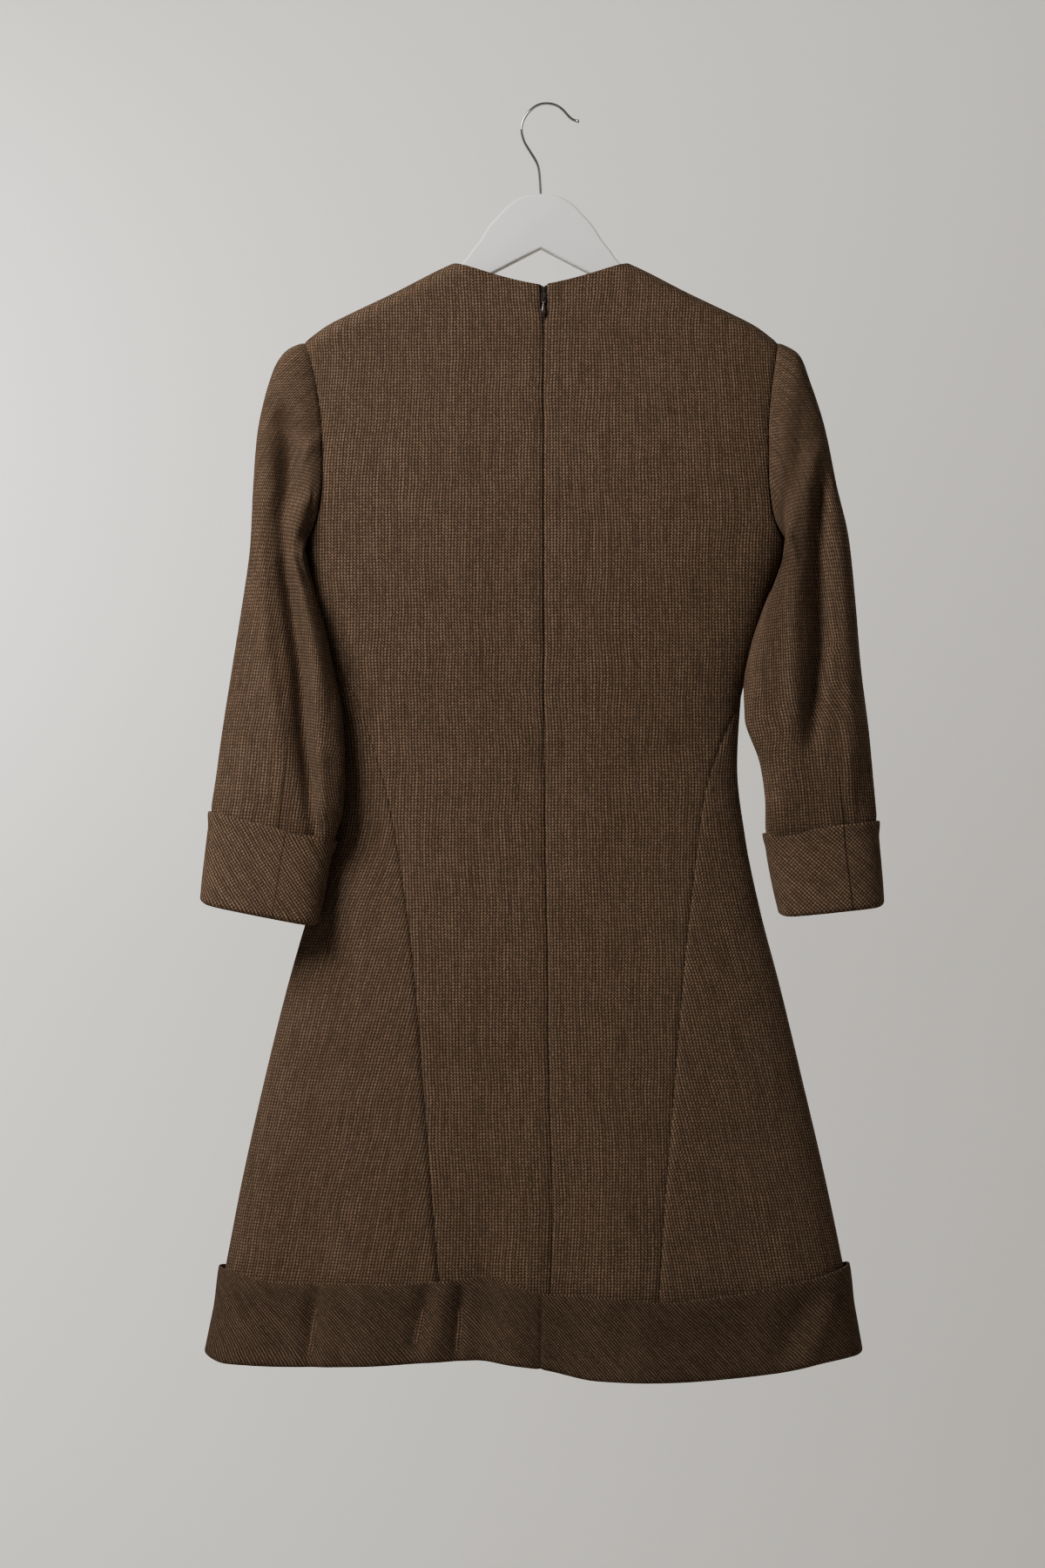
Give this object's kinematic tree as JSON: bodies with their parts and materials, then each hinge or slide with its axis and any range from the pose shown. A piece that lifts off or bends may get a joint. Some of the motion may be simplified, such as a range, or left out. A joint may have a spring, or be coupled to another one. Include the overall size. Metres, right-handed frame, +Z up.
{
  "type": "a-line dress on a hanger",
  "caption": "Knee-length a-line dress of coarse brown wool with three-quarter sleeves, turned-back cuffs and hem band and a zip down the back, on a flat white hanger.",
  "frame": {"origin": "the inner top of the hanger's hook, where it hangs on a rail or a peg", "axes": "+Z up; -Y out of the back of the dress, the side with the zip; +X to the right as seen from behind, which is the wearer's right"},
  "size_m": [0.5584, 0.1297, 1.0376],
  "materials": {
    "brown_wool": "coarse textured wool, light slubs on a dark ground, matt",
    "brown_wool_bias": "the same wool cut on the bias, matt",
    "zip_tape": "dark woven tape with a coil of teeth",
    "zip_metal": "dark brown enamel, glossy",
    "white_lacquer": "smooth white lacquer, satin",
    "chrome": "polished wire"
  },
  "bodies": {
    "dress": {"back_left": "brown_wool", "back_right": "brown_wool", "side_left": "brown_wool", "side_right": "brown_wool", "front": "brown_wool", "sleeve_left": "brown_wool", "sleeve_right": "brown_wool", "cuff_left": "brown_wool_bias", "cuff_right": "brown_wool_bias", "hem_band_left": "brown_wool_bias", "hem_band_right": "brown_wool_bias", "zip_tape_left": "zip_tape", "zip_tape_right": "zip_tape", "zip_slider": "zip_metal", "hanger": "white_lacquer", "hanger_hook": "chrome"},
    "pull_tab": {"zip_pull_tab": "zip_metal"}
  },
  "joints": [
    {"name": "pull_tab_hinge", "type": "hinge", "parent": "dress", "child": "pull_tab", "pos_m": [-0.0029, -0.0224, -0.1616], "axis": [-1, 0, 0], "range_deg": [0, 150]}
  ]
}
